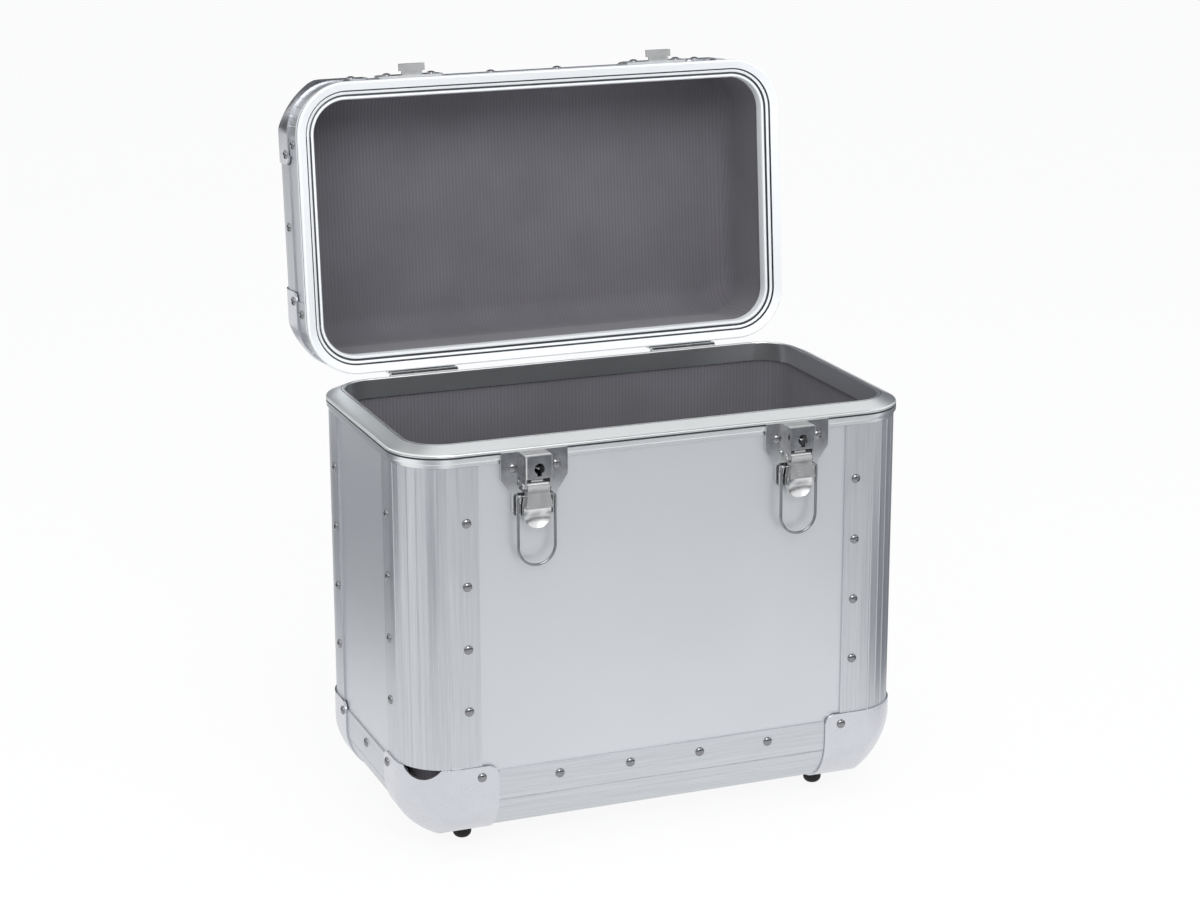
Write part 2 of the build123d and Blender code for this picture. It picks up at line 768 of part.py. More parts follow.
def bail_rod(start, end):
    """Wire between two points, drawn with flats."""
    run = end - start
    plane = Plane(origin=start, x_dir=(0, 1, 0), z_dir=run)
    return extrude(plane * RegularPolygon(bail_wire, bail_sides), amount=run.length)


def bail_turn(centre, start, angle):
    """Wire bent about an axis along Y."""
    plane = Plane(origin=start, x_dir=(0, 1, 0), z_dir=(start - centre).cross(front))
    section = plane * RegularPolygon(bail_wire, bail_sides)
    return revolve(section, Axis(centre, (0, 1, 0)), angle)


def bail():
    """Wire loop with its two ends bent in through the lever's cheeks."""
    y, top = bail_pivot_y, bail_pivot_z
    low = latch_z(bail_bottom) + bail_wire + bail_half
    bend = 2 * bail_wire
    shape = bail_turn(Vector(0, y, low), Vector(bail_half, y, low), 180)
    for sign in (-1, 1):
        side = sign * bail_half
        shape += bail_rod(Vector(side, y, low), Vector(side, y, top - bend))
        centre = Vector(side - sign * bend, y, top - bend)
        shape += bail_turn(centre, Vector(side, y, top - bend), -sign * 90)
        shape += bail_rod(centre + up * bend, Vector(sign * bail_end_inset, y, top))
    return shape


def lock_bolt():
    """Flat bolt with a tongue for the lever's tail and a slot round the key post."""
    plate = block((-bolt_half, bolt_half), (out_y(bolt_out + bolt_wall), out_y(bolt_out)),
                  (latch_z(bolt_tip), latch_z(bolt_top)))
    slot_half = key_post_radius + bolt_gap
    plate -= block((-slot_half, slot_half), (out_y(bolt_out + 2 * bolt_wall), out_y(0)),
                   (latch_z(keyhole_below + slot_half), latch_z(keyhole_below - slot_half - bolt_throw)))
    return plate


def catch():
    """Dished plate with a neck and a turned-up hook."""
    low, high = parting_z + catch_low, parting_z + catch_high
    plate = block((-catch_half, catch_half), (out_y(catch_out), out_y(0)), (low, high))
    plate = chamfer(plate.edges().filter_by(Axis.Y), catch_corner)
    inside = catch_half - catch_wall
    under = out_y(catch_out - catch_wall)
    plate -= block((-inside, inside), (under, out_y(0)), (low + catch_wall, high - catch_wall))
    shelf_z = (low, low + catch_wall)
    neck = block((-hook_neck_half, hook_neck_half), (out_y(hook_neck_out), under), shelf_z)
    shelf = block((-hook_half, hook_half), (out_y(hook_out), out_y(hook_neck_out)), shelf_z)
    lip_out = (out_y(hook_out), out_y(hook_out - catch_wall))
    lip = block((-hook_half, hook_half), lip_out, (low, low + hook_rise))
    lip = fillet(lip.edges().filter_by(Axis.Y).sort_by(Axis.Z)[-2:], hook_corner)
    return plate + neck + shelf + lip


# ---------------------------------------------------------------- carrying handle


def bracket_x():
    return grip_length / 2 + bracket_gap + bracket_foot_width / 2


def bracket_rivet_y():
    return bracket_foot_length / 2 - bracket_rivet_inset


def handle_grip():
    """Rounded grip with two arms, drawn lying flat towards the back of the lid."""
    half = grip_length / 2
    bar = Pos(0, grip_reach, handle_z) * Box(grip_length, grip_width, grip_thickness)
    bar = fillet(bar.edges().filter_by(Axis.X), grip_round)
    shape = bar
    for sign in (-1, 1):
        x_range = sorted((sign * half, sign * (half - arm_thickness)))
        arm = block(x_range, (0, grip_reach), (handle_z - arm_width / 2, handle_z + arm_width / 2))
        shape += arm + rod((0, handle_z), arm_width / 2, x_range)
    return shape - rod((0, handle_z), handle_pin_radius + running_gap, (-half, half))


def handle_bracket(sign):
    """Foot plate with an upright cheek and the pin that the handle turns on."""
    near = grip_length / 2 + bracket_gap
    foot_range = sorted((sign * near, sign * (near + bracket_foot_width)))
    plate = block(foot_range, (-bracket_foot_length / 2, bracket_foot_length / 2),
                  (lid_top_z, lid_top_z + bracket_foot_wall))
    plate = fillet(plate.edges().filter_by(Axis.Z), bracket_corner)
    cheek_range = sorted((sign * near, sign * (near + bracket_wall)))
    cheek = block(cheek_range, (-arm_width / 2, arm_width / 2), (lid_top_z, handle_z))
    cheek += rod((0, handle_z), arm_width / 2, cheek_range)
    pin_range = sorted((sign * (near - arm_thickness), sign * (near + bracket_wall)))
    pin = rod((0, handle_z), handle_pin_radius, pin_range)
    return plate + cheek + pin


# ---------------------------------------------------------------- assembly


def body_nodes():
    nodes = {}
    board_top = parting_z - rim_inner_wall - fit_gap
    board_low = floor_z + board_edge_inset
    for name in ("front", "back", "left", "right"):
        nodes[f"{name}_panel"] = wall_board(name, body_board, (board_low, board_top))
    nodes["floor_panel"] = flat_board((floor_z, floor_z + body_board))
    post_range = (floor_z + cap_reach_z + fit_gap, parting_z - rim_skirt - fit_gap)
    for name, signs in corner_signs.items():
        nodes[f"corner_profile_{name}"] = upright_profile(body_board, signs, post_range)
        cap = ball_corner(dipped=name == "front_left")
        nodes[f"base_corner_{name}"] = set_corner(cap, signs, floor_z, False)
    for name, side in (("front", front), ("back", back), ("left", left), ("right", right)):
        nodes[f"base_profile_{name}"] = edge_profile(body_board, side, floor_z, up)
    nodes["rubber_feet"] = rubber_feet()
    nodes["body_rim"] = body_rim()
    nodes["body_lining"] = Pos(0, 0, floor_z) * lining(body_board, board_top - floor_z)
    nodes["body_rivets"] = body_rivets()
    for side, sign in (("left", -1), ("right", 1)):
        nodes[f"hinge_leaf_body_{side}"] = body_hinge_leaf(sign * hinge_x)
        nodes[f"latch_base_{side}"] = Pos(sign * latch_x, 0, 0) * latch_base()
    nodes["hinge_pins"] = hinge_pins()
    nodes["latch_pins"] = Compound([Pos(sign * latch_x, 0, 0) * latch_pin() for sign in (-1, 1)])
    return nodes


def latch_nodes():
    nodes = {}
    for side, sign in (("left", -1), ("right", 1)):
        place = Pos(sign * latch_x, 0, 0)
        nodes[f"latch_lever_{side}"] = place * latch_lever()
        nodes[f"latch_bail_{side}"] = place * bail()
        nodes[f"lock_bolt_{side}"] = place * lock_bolt()
    return nodes


def lid_nodes():
    nodes = {}
    board_low = parting_z + lid_slot_floor + fit_gap
    board_high = lid_top_z - board_edge_inset
    for name in ("front", "back", "left", "right"):
        nodes[f"lid_{name}_panel"] = wall_board(name, lid_board, (board_low, board_high))
    nodes["lid_top_panel"] = flat_board((lid_top_z - lid_board, lid_top_z))
    post_range = (parting_z + lid_rim_skirt + fit_gap, lid_top_z - cap_reach_z - fit_gap)
    for name, signs in corner_signs.items():
        nodes[f"lid_corner_profile_{name}"] = upright_profile(lid_board, signs, post_range)
        nodes[f"lid_corner_{name}"] = set_corner(ball_corner(), signs, lid_top_z, True)
    for name, side in (("front", front), ("back", back), ("left", left), ("right", right)):
        nodes[f"lid_profile_{name}"] = edge_profile(lid_board, side, lid_top_z, down)
    nodes["lid_rim"] = lid_rim()
    tray = lining(lid_board, lid_top_z - board_low)
    nodes["lid_lining"] = Pos(0, 0, lid_top_z) * mirror(tray, Plane.XY)
    nodes["lid_rivets"] = lid_rivets()
    for side, sign in (("left", -1), ("right", 1)):
        nodes[f"hinge_leaf_lid_{side}"] = lid_hinge_leaf(sign * hinge_x)
        nodes[f"catch_{side}"] = Pos(sign * latch_x, 0, 0) * catch()
        nodes[f"handle_bracket_{side}"] = handle_bracket(sign)
    return nodes


def turn_about_x(y, z, angle):
    return Pos(0, y, z) * Rot(angle, 0, 0) * Pos(0, -y, -z)


def standing_case():
    """Every node with the lid open and the handle hanging plumb, centred on the footprint."""
    opening = turn_about_x(hinge_y, hinge_z, -lid_open_angle)
    hanging = turn_about_x(0, handle_z, lid_open_angle - 90)
    nodes = {**body_nodes(), **latch_nodes()}
    nodes.update({name: opening * shape for name, shape in lid_nodes().items()})
    nodes["handle_grip"] = opening * hanging * handle_grip()
    boxes = [shape.bounding_box() for shape in nodes.values()]
    y_low = min(box.min.Y for box in boxes)
    y_high = max(box.max.Y for box in boxes)
    centring = Pos(0, -(y_low + y_high) / 2, 0)
    return {name: centring * shape for name, shape in nodes.items()}, -(y_low + y_high) / 2


if __name__ == "__main__":
    os.makedirs("parts", exist_ok=True)
    case_nodes, centring_y = standing_case()
    for node, shape in case_nodes.items():
        export_step(shape, f"parts/{node}.step")
    print("nodes", len(case_nodes), "moved", round(centring_y, 3), "mm along Y")
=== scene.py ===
import bpy
import bmesh
import json
import numpy as np
from math import cos, pi, radians, sin
from mathutils import Matrix, Vector

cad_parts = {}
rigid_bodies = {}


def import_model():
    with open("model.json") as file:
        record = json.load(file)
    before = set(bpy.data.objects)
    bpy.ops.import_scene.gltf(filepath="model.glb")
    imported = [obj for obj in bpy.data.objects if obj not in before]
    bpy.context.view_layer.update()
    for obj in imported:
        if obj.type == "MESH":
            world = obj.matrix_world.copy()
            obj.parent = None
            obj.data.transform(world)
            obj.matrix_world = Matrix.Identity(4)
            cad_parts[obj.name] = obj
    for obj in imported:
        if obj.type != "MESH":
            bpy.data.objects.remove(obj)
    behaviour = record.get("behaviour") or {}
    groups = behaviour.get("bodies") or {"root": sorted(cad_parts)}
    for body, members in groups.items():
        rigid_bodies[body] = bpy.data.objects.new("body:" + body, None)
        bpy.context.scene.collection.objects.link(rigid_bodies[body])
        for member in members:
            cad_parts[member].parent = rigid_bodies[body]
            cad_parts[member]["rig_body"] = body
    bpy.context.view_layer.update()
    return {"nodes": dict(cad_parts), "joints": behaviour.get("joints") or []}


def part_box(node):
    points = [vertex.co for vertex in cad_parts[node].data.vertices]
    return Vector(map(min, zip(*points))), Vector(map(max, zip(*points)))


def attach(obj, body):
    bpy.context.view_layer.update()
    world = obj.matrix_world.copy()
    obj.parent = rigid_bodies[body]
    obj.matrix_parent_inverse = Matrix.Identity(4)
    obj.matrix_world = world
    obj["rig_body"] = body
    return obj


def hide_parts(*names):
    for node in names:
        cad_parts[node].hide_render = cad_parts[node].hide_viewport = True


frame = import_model()
nodes = frame["nodes"]
mm = 0.001
print("frame loaded,", len(nodes), "nodes")

bpy.ops.object.select_all(action="DESELECT")


def linear(hexColour):
    # sRGB hex to linear RGBA
    parts = [int(hexColour[k:k + 2], 16) / 255 for k in (1, 3, 5)]
    return [p / 12.92 if p <= 0.04045 else ((p + 0.055) / 1.055) ** 2.4 for p in parts] + [1]


def addNode(tree, kind, settings=None, links=None):
    # a node with its settings, its socket values and its links
    node = tree.nodes.new(kind)
    for name, value in (settings or {}).items():
        if isinstance(name, str) and hasattr(node, name):
            setattr(node, name, value)
        else:
            node.inputs[name].default_value = value
    for name, socket in (links or {}).items():
        tree.links.new(socket, node.inputs[name])
    return node


def newMaterial(name):
    material = bpy.data.materials.new(name)
    material.use_nodes = True
    tree = material.node_tree
    tree.nodes.clear()
    return material, tree


def finishMaterial(material, tree, shader):
    addNode(tree, "ShaderNodeOutputMaterial", None, {"Surface": shader.outputs[0]})
    return material


# Finishes. In each look, smoother and duller are how far the roughness falls and rises across the surface.
# Real satin grain, die lines, tumbling marks, cloth fuzz and mould grain are 0.05 to 0.3 mm across, too fine to show,
# so grainMm, lineMm and fuzzMm draw them as coarse as they need to show.

satinSheet = {"colour": "#dadcdf", "shade": "#d3d6da", "metallic": 0.85, "roughness": 0.42, "smoother": 0.05,
              "duller": 0.05, "grainMm": 1.4, "grainDetail": 3.0, "grainStretch": (1, 1, 0.06), "cloudMm": 90,
              "cloudDetail": 2.0, "bump": 0.05, "bumpMm": 0.1}


def makeSatinSheet(look):
    # satin anodised aluminium sheet: an even, faintly cloudy sheen with a hair-fine grain
    material, tree = newMaterial("satinAnodisedSheet")
    place = addNode(tree, "ShaderNodeTexCoord").outputs["Object"]
    cloud = addNode(tree, "ShaderNodeTexNoise", {"Scale": 1 / (look["cloudMm"] * mm), "Detail": look["cloudDetail"]},
                    {"Vector": place})
    tint = addNode(tree, "ShaderNodeMix", {"data_type": "RGBA"}, {"Factor": cloud.outputs["Fac"]})
    tint.inputs["A"].default_value = linear(look["colour"])
    tint.inputs["B"].default_value = linear(look["shade"])
    stretched = addNode(tree, "ShaderNodeMapping", {"Scale": look["grainStretch"]}, {"Vector": place})
    grain = addNode(tree, "ShaderNodeTexNoise", {"Scale": 1 / (look["grainMm"] * mm), "Detail": look["grainDetail"]},
                    {"Vector": stretched.outputs[0]})
    rough = addNode(tree, "ShaderNodeMapRange", {"To Min": look["roughness"] - look["smoother"],
                                                 "To Max": look["roughness"] + look["duller"]},
                    {"Value": grain.outputs["Fac"]})
    bump = addNode(tree, "ShaderNodeBump", {"Strength": look["bump"], "Distance": look["bumpMm"] * mm},
                   {"Height": grain.outputs["Fac"]})
    shader = addNode(tree, "ShaderNodeBsdfPrincipled", {"Metallic": look["metallic"]},
                     {"Base Color": tint.outputs["Result"], "Roughness": rough.outputs[0], "Normal": bump.outputs[0]})
    return finishMaterial(material, tree, shader)


extrusion = {"colour": "#e2e5e8", "shade": "#b2b5ba", "metallic": 0.9, "roughness": 0.38, "smoother": 0.1,
             "duller": 0.1, "lineMm": 1.6, "lineDetail": 4.0, "lineRoughness": 0.7, "lineStretch": 0.02, "bump": 0.4,
             "bumpMm": 0.12}


def makeExtrusion(name, look, stretch):
    # mill-finished aluminium extrusion: fine die lines along its length over the turned-in ribs
    material, tree = newMaterial(name)
    place = addNode(tree, "ShaderNodeTexCoord").outputs["Object"]
    stretched = addNode(tree, "ShaderNodeMapping", {"Scale": stretch}, {"Vector": place})
    lines = addNode(tree, "ShaderNodeTexNoise", {"Scale": 1 / (look["lineMm"] * mm), "Detail": look["lineDetail"],
                                                 "Roughness": look["lineRoughness"]},
                    {"Vector": stretched.outputs[0]})
    tint = addNode(tree, "ShaderNodeMix", {"data_type": "RGBA"}, {"Factor": lines.outputs["Fac"]})
    tint.inputs["A"].default_value = linear(look["shade"])
    tint.inputs["B"].default_value = linear(look["colour"])
    rough = addNode(tree, "ShaderNodeMapRange", {"To Min": look["roughness"] - look["smoother"],
                                                 "To Max": look["roughness"] + look["duller"]},
                    {"Value": lines.outputs["Fac"]})
    bump = addNode(tree, "ShaderNodeBump", {"Strength": look["bump"], "Distance": look["bumpMm"] * mm},
                   {"Height": lines.outputs["Fac"]})
    shader = addNode(tree, "ShaderNodeBsdfPrincipled", {"Metallic": look["metallic"]},
                     {"Base Color": tint.outputs["Result"], "Roughness": rough.outputs[0], "Normal": bump.outputs[0]})
    return finishMaterial(material, tree, shader)


pressedCorner = {"colour": "#d9dbe0", "shade": "#c9cbd1", "metallic": 0.92, "roughness": 0.27, "smoother": 0.08,
                 "duller": 0.1, "patchMm": 14, "patchDetail": 3.0, "grainMm": 1.2, "grainDetail": 2.0, "bump": 0.03,
                 "bumpMm": 0.1}


def makePressedCorner(look):
    # pressed and tumbled aluminium corner: soft sheen with a slightly lavender cast and faint polishing marks
    material, tree = newMaterial("tumbledAluminiumCorner")
    place = addNode(tree, "ShaderNodeTexCoord").outputs["Object"]
    patch = addNode(tree, "ShaderNodeTexNoise", {"Scale": 1 / (look["patchMm"] * mm), "Detail": look["patchDetail"]},
                    {"Vector": place})
    grain = addNode(tree, "ShaderNodeTexNoise", {"Scale": 1 / (look["grainMm"] * mm), "Detail": look["grainDetail"]},
                    {"Vector": place})
    tint = addNode(tree, "ShaderNodeMix", {"data_type": "RGBA"}, {"Factor": patch.outputs["Fac"]})
    tint.inputs["A"].default_value = linear(look["shade"])
    tint.inputs["B"].default_value = linear(look["colour"])
    rough = addNode(tree, "ShaderNodeMapRange", {"To Min": look["roughness"] - look["smoother"],
                                                 "To Max": look["roughness"] + look["duller"]},
                    {"Value": patch.outputs["Fac"]})
    bump = addNode(tree, "ShaderNodeBump", {"Strength": look["bump"], "Distance": look["bumpMm"] * mm},
                   {"Height": grain.outputs["Fac"]})
    shader = addNode(tree, "ShaderNodeBsdfPrincipled", {"Metallic": look["metallic"]},
                     {"Base Color": tint.outputs["Result"], "Roughness": rough.outputs[0], "Normal": bump.outputs[0]})
    return finishMaterial(material, tree, shader)


brightRim = {"colour": "#eef1f2", "metallic": 1.0, "roughness": 0.3, "smoother": 0.03, "duller": 0.03, "patchMm": 40,
             "patchDetail": 2.0}
# lid rim: a lit copy of the rim metal, matt and near white, a painted highlight
rimLitWhiteCopy = {"colour": "#f0f2f2", "metallic": 0.0, "roughness": 0.35, "smoother": 0.03, "duller": 0.03,
              "patchMm": 40, "patchDetail": 2.0}


def makeRimMetal(name, look):
    # bright-dipped aluminium rim: clean faces that catch the light as pale bands
    # the lid's rim gets a matt, near-white copy of it, a painted highlight that reads white
    material, tree = newMaterial(name)
    place = addNode(tree, "ShaderNodeTexCoord").outputs["Object"]
    patch = addNode(tree, "ShaderNodeTexNoise", {"Scale": 1 / (look["patchMm"] * mm), "Detail": look["patchDetail"]},
                    {"Vector": place})
    rough = addNode(tree, "ShaderNodeMapRange", {"To Min": look["roughness"] - look["smoother"],
                                                 "To Max": look["roughness"] + look["duller"]},
                    {"Value": patch.outputs["Fac"]})
    shader = addNode(tree, "ShaderNodeBsdfPrincipled", {"Base Color": linear(look["colour"]),
                                                        "Metallic": look["metallic"]},
                     {"Roughness": rough.outputs[0]})
    return finishMaterial(material, tree, shader)


# groove colours: partly grime, partly painted shade in the rims' grooves
grooveDirtAndShade = {"grimeAndShade": "#4a4c50", "oxideAndShade": "#6c6f74", "metallic": 0.6, "roughness": 0.5, "patchMm": 40,
                "patchDetail": 4.0}


def makeGrooveDirtAndShade(look):
    # dulled aluminium in a groove, painted dark: partly grime and oxidised polish, partly painted shade, so that it
    # reads as a dark line
    material, tree = newMaterial("grooveDirtAndShade")
    place = addNode(tree, "ShaderNodeTexCoord").outputs["Object"]
    patch = addNode(tree, "ShaderNodeTexNoise", {"Scale": 1 / (look["patchMm"] * mm), "Detail": look["patchDetail"]},
                    {"Vector": place})
    tint = addNode(tree, "ShaderNodeMix", {"data_type": "RGBA"}, {"Factor": patch.outputs["Fac"]})
    tint.inputs["A"].default_value = linear(look["grimeAndShade"])
    tint.inputs["B"].default_value = linear(look["oxideAndShade"])
    shader = addNode(tree, "ShaderNodeBsdfPrincipled", {"Metallic": look["metallic"], "Roughness": look["roughness"]},
                     {"Base Color": tint.outputs["Result"]})
    return finishMaterial(material, tree, shader)


nickel = {"colour": "#cfd0d0", "shade": "#bfc0c2", "roughness": 0.1}
# the levers' and catches' copy of the nickel is painted paler: a painted highlight for their bright faces
litLeverNickel = {"colour": "#e6e7e8", "shade": "#d8d9da", "roughness": 0.24}
# the bails' copy of the nickel is painted darker: a painted dark reflection of the surroundings they mirror
shadedWireNickel = {"colour": "#a0a2a4", "shade": "#8b8d8f", "roughness": 0.1}
# the rivet heads' copy of the nickel is painted darker: a painted dark reflection of the surroundings they mirror
shadedRivetNickel = {"colour": "#98999c", "shade": "#86878b", "roughness": 0.1}
smears = {"sizeMm": 6, "detail": 4.0, "smoother": 0.05, "duller": 0.07}


def makeNickel(name, look):
    # nickel plate over steel: mirror-like, with handling smears
    material, tree = newMaterial(name)
    place = addNode(tree, "ShaderNodeTexCoord").outputs["Object"]
    smear = addNode(tree, "ShaderNodeTexNoise", {"Scale": 1 / (smears["sizeMm"] * mm), "Detail": smears["detail"]},
                    {"Vector": place})
    tint = addNode(tree, "ShaderNodeMix", {"data_type": "RGBA"}, {"Factor": smear.outputs["Fac"]})
    tint.inputs["A"].default_value = linear(look["shade"])
    tint.inputs["B"].default_value = linear(look["colour"])
    rough = addNode(tree, "ShaderNodeMapRange", {"To Min": look["roughness"] - smears["smoother"],
                                                 "To Max": look["roughness"] + smears["duller"]},
                    {"Value": smear.outputs["Fac"]})
    shader = addNode(tree, "ShaderNodeBsdfPrincipled", {"Metallic": 1.0},
                     {"Base Color": tint.outputs["Result"], "Roughness": rough.outputs[0]})
    return finishMaterial(material, tree, shader)


# wornFrom and wornTo are the noise levels between which the cloth goes over to its worn tone, by wornShare at most
# valley is darker than crest: painted shade in the hollows between the ribs
ribCloth = {"crest": "#757378", "valley": "#656368", "worn": "#5b595d", "wornMm": 70, "wornDetail": 3.0,
            "wornFrom": 0.35, "wornTo": 0.65, "wornShare": 0.5, "pitchMm": 2.6, "depthMm": 0.35, "fuzzMm": 0.7,
            "fuzzDetail": 3.0, "fuzzShare": 0.35, "bump": 0.45, "roughness": 0.92, "sheen": 0.25, "endFacing": 0.707}


def makeRibCloth(look):
    # needle-punched ribbed lining: soft upright ribs, dull and a little fuzzy, running round the end walls too
    material, tree = newMaterial("ribbedLining")
    coords = addNode(tree, "ShaderNodeTexCoord")
    place = addNode(tree, "ShaderNodeSeparateXYZ", None, {"Vector": coords.outputs["Object"]})
    facing = addNode(tree, "ShaderNodeSeparateXYZ", None, {"Vector": coords.outputs["Normal"]})
    size = addNode(tree, "ShaderNodeMath", {"operation": "ABSOLUTE"}, {0: facing.outputs["X"]})
    endWall = addNode(tree, "ShaderNodeMath", {"operation": "GREATER_THAN", 1: look["endFacing"]},
                      {0: size.outputs[0]})
    along = addNode(tree, "ShaderNodeMix", {"data_type": "FLOAT"},
                    {"Factor": endWall.outputs[0], "A": place.outputs["X"], "B": place.outputs["Y"]})
    turns = addNode(tree, "ShaderNodeMath", {"operation": "MULTIPLY", 1: 2 * pi / (look["pitchMm"] * mm)},
                    {0: along.outputs[0]})
    wave = addNode(tree, "ShaderNodeMath", {"operation": "SINE"}, {0: turns.outputs[0]})
    rib = addNode(tree, "ShaderNodeMapRange", {"From Min": -1.0}, {"Value": wave.outputs[0]})
    fuzz = addNode(tree, "ShaderNodeTexNoise", {"Scale": 1 / (look["fuzzMm"] * mm), "Detail": look["fuzzDetail"]},
                   {"Vector": coords.outputs["Object"]})
    height = addNode(tree, "ShaderNodeMix", {"data_type": "FLOAT", "Factor": look["fuzzShare"]},
                     {"A": rib.outputs[0], "B": fuzz.outputs["Fac"]})
    # the rib valleys are painted darker than the crests: painted shade between the ribs
    tint = addNode(tree, "ShaderNodeMix", {"data_type": "RGBA"}, {"Factor": height.outputs[0]})
    tint.inputs["A"].default_value = linear(look["valley"])
    tint.inputs["B"].default_value = linear(look["crest"])
    cloud = addNode(tree, "ShaderNodeTexNoise", {"Scale": 1 / (look["wornMm"] * mm), "Detail": look["wornDetail"]},
                    {"Vector": coords.outputs["Object"]})
    worn = addNode(tree, "ShaderNodeMapRange", {"From Min": look["wornFrom"], "From Max": look["wornTo"],
                                                "To Max": look["wornShare"]}, {"Value": cloud.outputs["Fac"]})
    mottled = addNode(tree, "ShaderNodeMix", {"data_type": "RGBA"},
                      {"Factor": worn.outputs[0], "A": tint.outputs["Result"]})
    mottled.inputs["B"].default_value = linear(look["worn"])
    bump = addNode(tree, "ShaderNodeBump", {"Strength": look["bump"], "Distance": look["depthMm"] * mm},
                   {"Height": height.outputs[0]})
    shader = addNode(tree, "ShaderNodeBsdfPrincipled", {"Roughness": look["roughness"],
                                                        "Sheen Weight": look["sheen"]},
                     {"Base Color": mottled.outputs["Result"], "Normal": bump.outputs[0]})
    return finishMaterial(material, tree, shader)


mouldedGrip = {"colour": "#17171a", "roughness": 0.5, "smoother": 0.06, "duller": 0.08, "grainMm": 0.7,
               "grainDetail": 2.0, "bump": 0.3, "bumpMm": 0.15}
footRubber = {"colour": "#141416", "roughness": 0.7, "smoother": 0.06, "duller": 0.08, "grainMm": 0.9,
              "grainDetail": 2.0, "bump": 0.2, "bumpMm": 0.15}


def makeMoulded(name, look):
    # moulded polymer: near black, with the fine spark-eroded grain of its mould
    material, tree = newMaterial(name)
    place = addNode(tree, "ShaderNodeTexCoord").outputs["Object"]
    grain = addNode(tree, "ShaderNodeTexNoise", {"Scale": 1 / (look["grainMm"] * mm), "Detail": look["grainDetail"]},
                    {"Vector": place})
    rough = addNode(tree, "ShaderNodeMapRange", {"To Min": look["roughness"] - look["smoother"],
                                                 "To Max": look["roughness"] + look["duller"]},
                    {"Value": grain.outputs["Fac"]})
    bump = addNode(tree, "ShaderNodeBump", {"Strength": look["bump"], "Distance": look["bumpMm"] * mm},
                   {"Height": grain.outputs["Fac"]})
    shader = addNode(tree, "ShaderNodeBsdfPrincipled", {"Base Color": linear(look["colour"])},
                     {"Roughness": rough.outputs[0], "Normal": bump.outputs[0]})
    return finishMaterial(material, tree, shader)


lineStretch = extrusion["lineStretch"]
satin = makeSatinSheet(satinSheet)
upright = makeExtrusion("extrusionUpright", extrusion, (1, 1, lineStretch))
acrossX = makeExtrusion("extrusionAcross", extrusion, (lineStretch, 1, 1))
alongY = makeExtrusion("extrusionAlong", extrusion, (1, lineStretch, 1))
corner = makePressedCorner(pressedCorner)
bodyRimMetal = makeRimMetal("brightDippedRim", brightRim)
lidRimMetal = makeRimMetal("rimLitWhiteCopy", rimLitWhiteCopy)
grooveDirtAndShadeMetal = makeGrooveDirtAndShade(grooveDirtAndShade)
polished = makeNickel("nickelPlatePolished", nickel)
leverNickel = makeNickel("nickelPlateLever", litLeverNickel)
wire = makeNickel("nickelPlateWire", shadedWireNickel)
rivetMetal = makeNickel("nickelPlateRivet", shadedRivetNickel)
cloth = makeRibCloth(ribCloth)
gripPlastic = makeMoulded("mouldedGripPolymer", mouldedGrip)
rubber = makeMoulded("footRubber", footRubber)
print("finishes made")

# CAD pieces, each as a merged copy with clean shading

weldMm = 0.002


def bodyOf(name):
    return nodes[name]["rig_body"]


def copyOf(name):
    # a merged copy of a CAD node's mesh, as a new object at the origin
    source = nodes[name]
    piece = bpy.data.objects.new(name + "Finished", source.data.copy())
    bpy.context.scene.collection.objects.link(piece)
    mesh = bmesh.new()
    mesh.from_mesh(piece.data)
    bmesh.ops.remove_doubles(mesh, verts=mesh.verts, dist=weldMm * mm)
    mesh.to_mesh(piece.data)
    mesh.free()
    return piece


def selectOnly(pieces):
    # the first of the pieces becomes the active one
    bpy.ops.object.select_all(action="DESELECT")
    for piece in pieces:
        piece.select_set(True)
    bpy.context.view_layer.objects.active = pieces[0]


def finishPiece(piece, name, material, smoothAngle):
    piece.data.materials.clear()
    piece.data.materials.append(material)
    selectOnly([piece])
    bpy.ops.object.shade_smooth_by_angle(angle=radians(smoothAngle))
    flats = piece.modifiers.new("flats", "WEIGHTED_NORMAL")  # keeps flat faces flat beside small rounds
    flats.keep_sharp = True
    bpy.ops.object.modifier_apply(modifier="flats")
    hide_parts(name)
    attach(piece, bodyOf(name))


# a small broken edge in mm, by the start of the piece's name, so that pressed metal catches the light
brokenEdge = {"latch_base": 0.6, "latch_lever": 0.3, "catch": 0.45, "hinge_leaf": 0.25, "handle_bracket": 0.5,
              "handle_grip": 0.9, "lock_bolt": 0.2, "latch_pins": 0.15}
edgeCut = {"flatAngle": 2, "sharpAngle": 40, "segments": 2}
smoothAngles = {"wire": 75, "profile": 14, "other": 30}


def breakEdges(piece, widthMm):
    bpy.context.view_layer.objects.active = piece
    piece.select_set(True)
    flat = piece.modifiers.new("flat", "DECIMATE")
    flat.decimate_type = "DISSOLVE"
    flat.angle_limit = radians(edgeCut["flatAngle"])
    edge = piece.modifiers.new("edge", "BEVEL")
    edge.width = widthMm * mm
    edge.segments = edgeCut["segments"]
    edge.limit_method = "ANGLE"
    edge.angle_limit = radians(edgeCut["sharpAngle"])
    for modifier in ("flat", "edge"):
        bpy.ops.object.modifier_apply(modifier=modifier)


def materialFor(name):
    if name.endswith("_panel"):
        return satin
    onLid = name.startswith("lid_")
    if "corner_profile" in name:
        return alongY if onLid else upright
    if "profile" in name:
        if name.endswith(("front", "back")):
            return acrossX
        # the lid stands on edge, so its end profiles run upwards
        return upright if onLid else alongY
    if "corner" in name:
        return corner
    if name == "handle_grip":
        return gripPlastic
    if name.startswith("latch_bail"):
        return wire
    if name.startswith(("latch_lever", "catch")):
        return leverNickel
    return polished


def smoothAngleFor(name):
    kind = "wire" if name.startswith("latch_bail") else "profile" if "profile" in name else "other"
    return smoothAngles[kind]


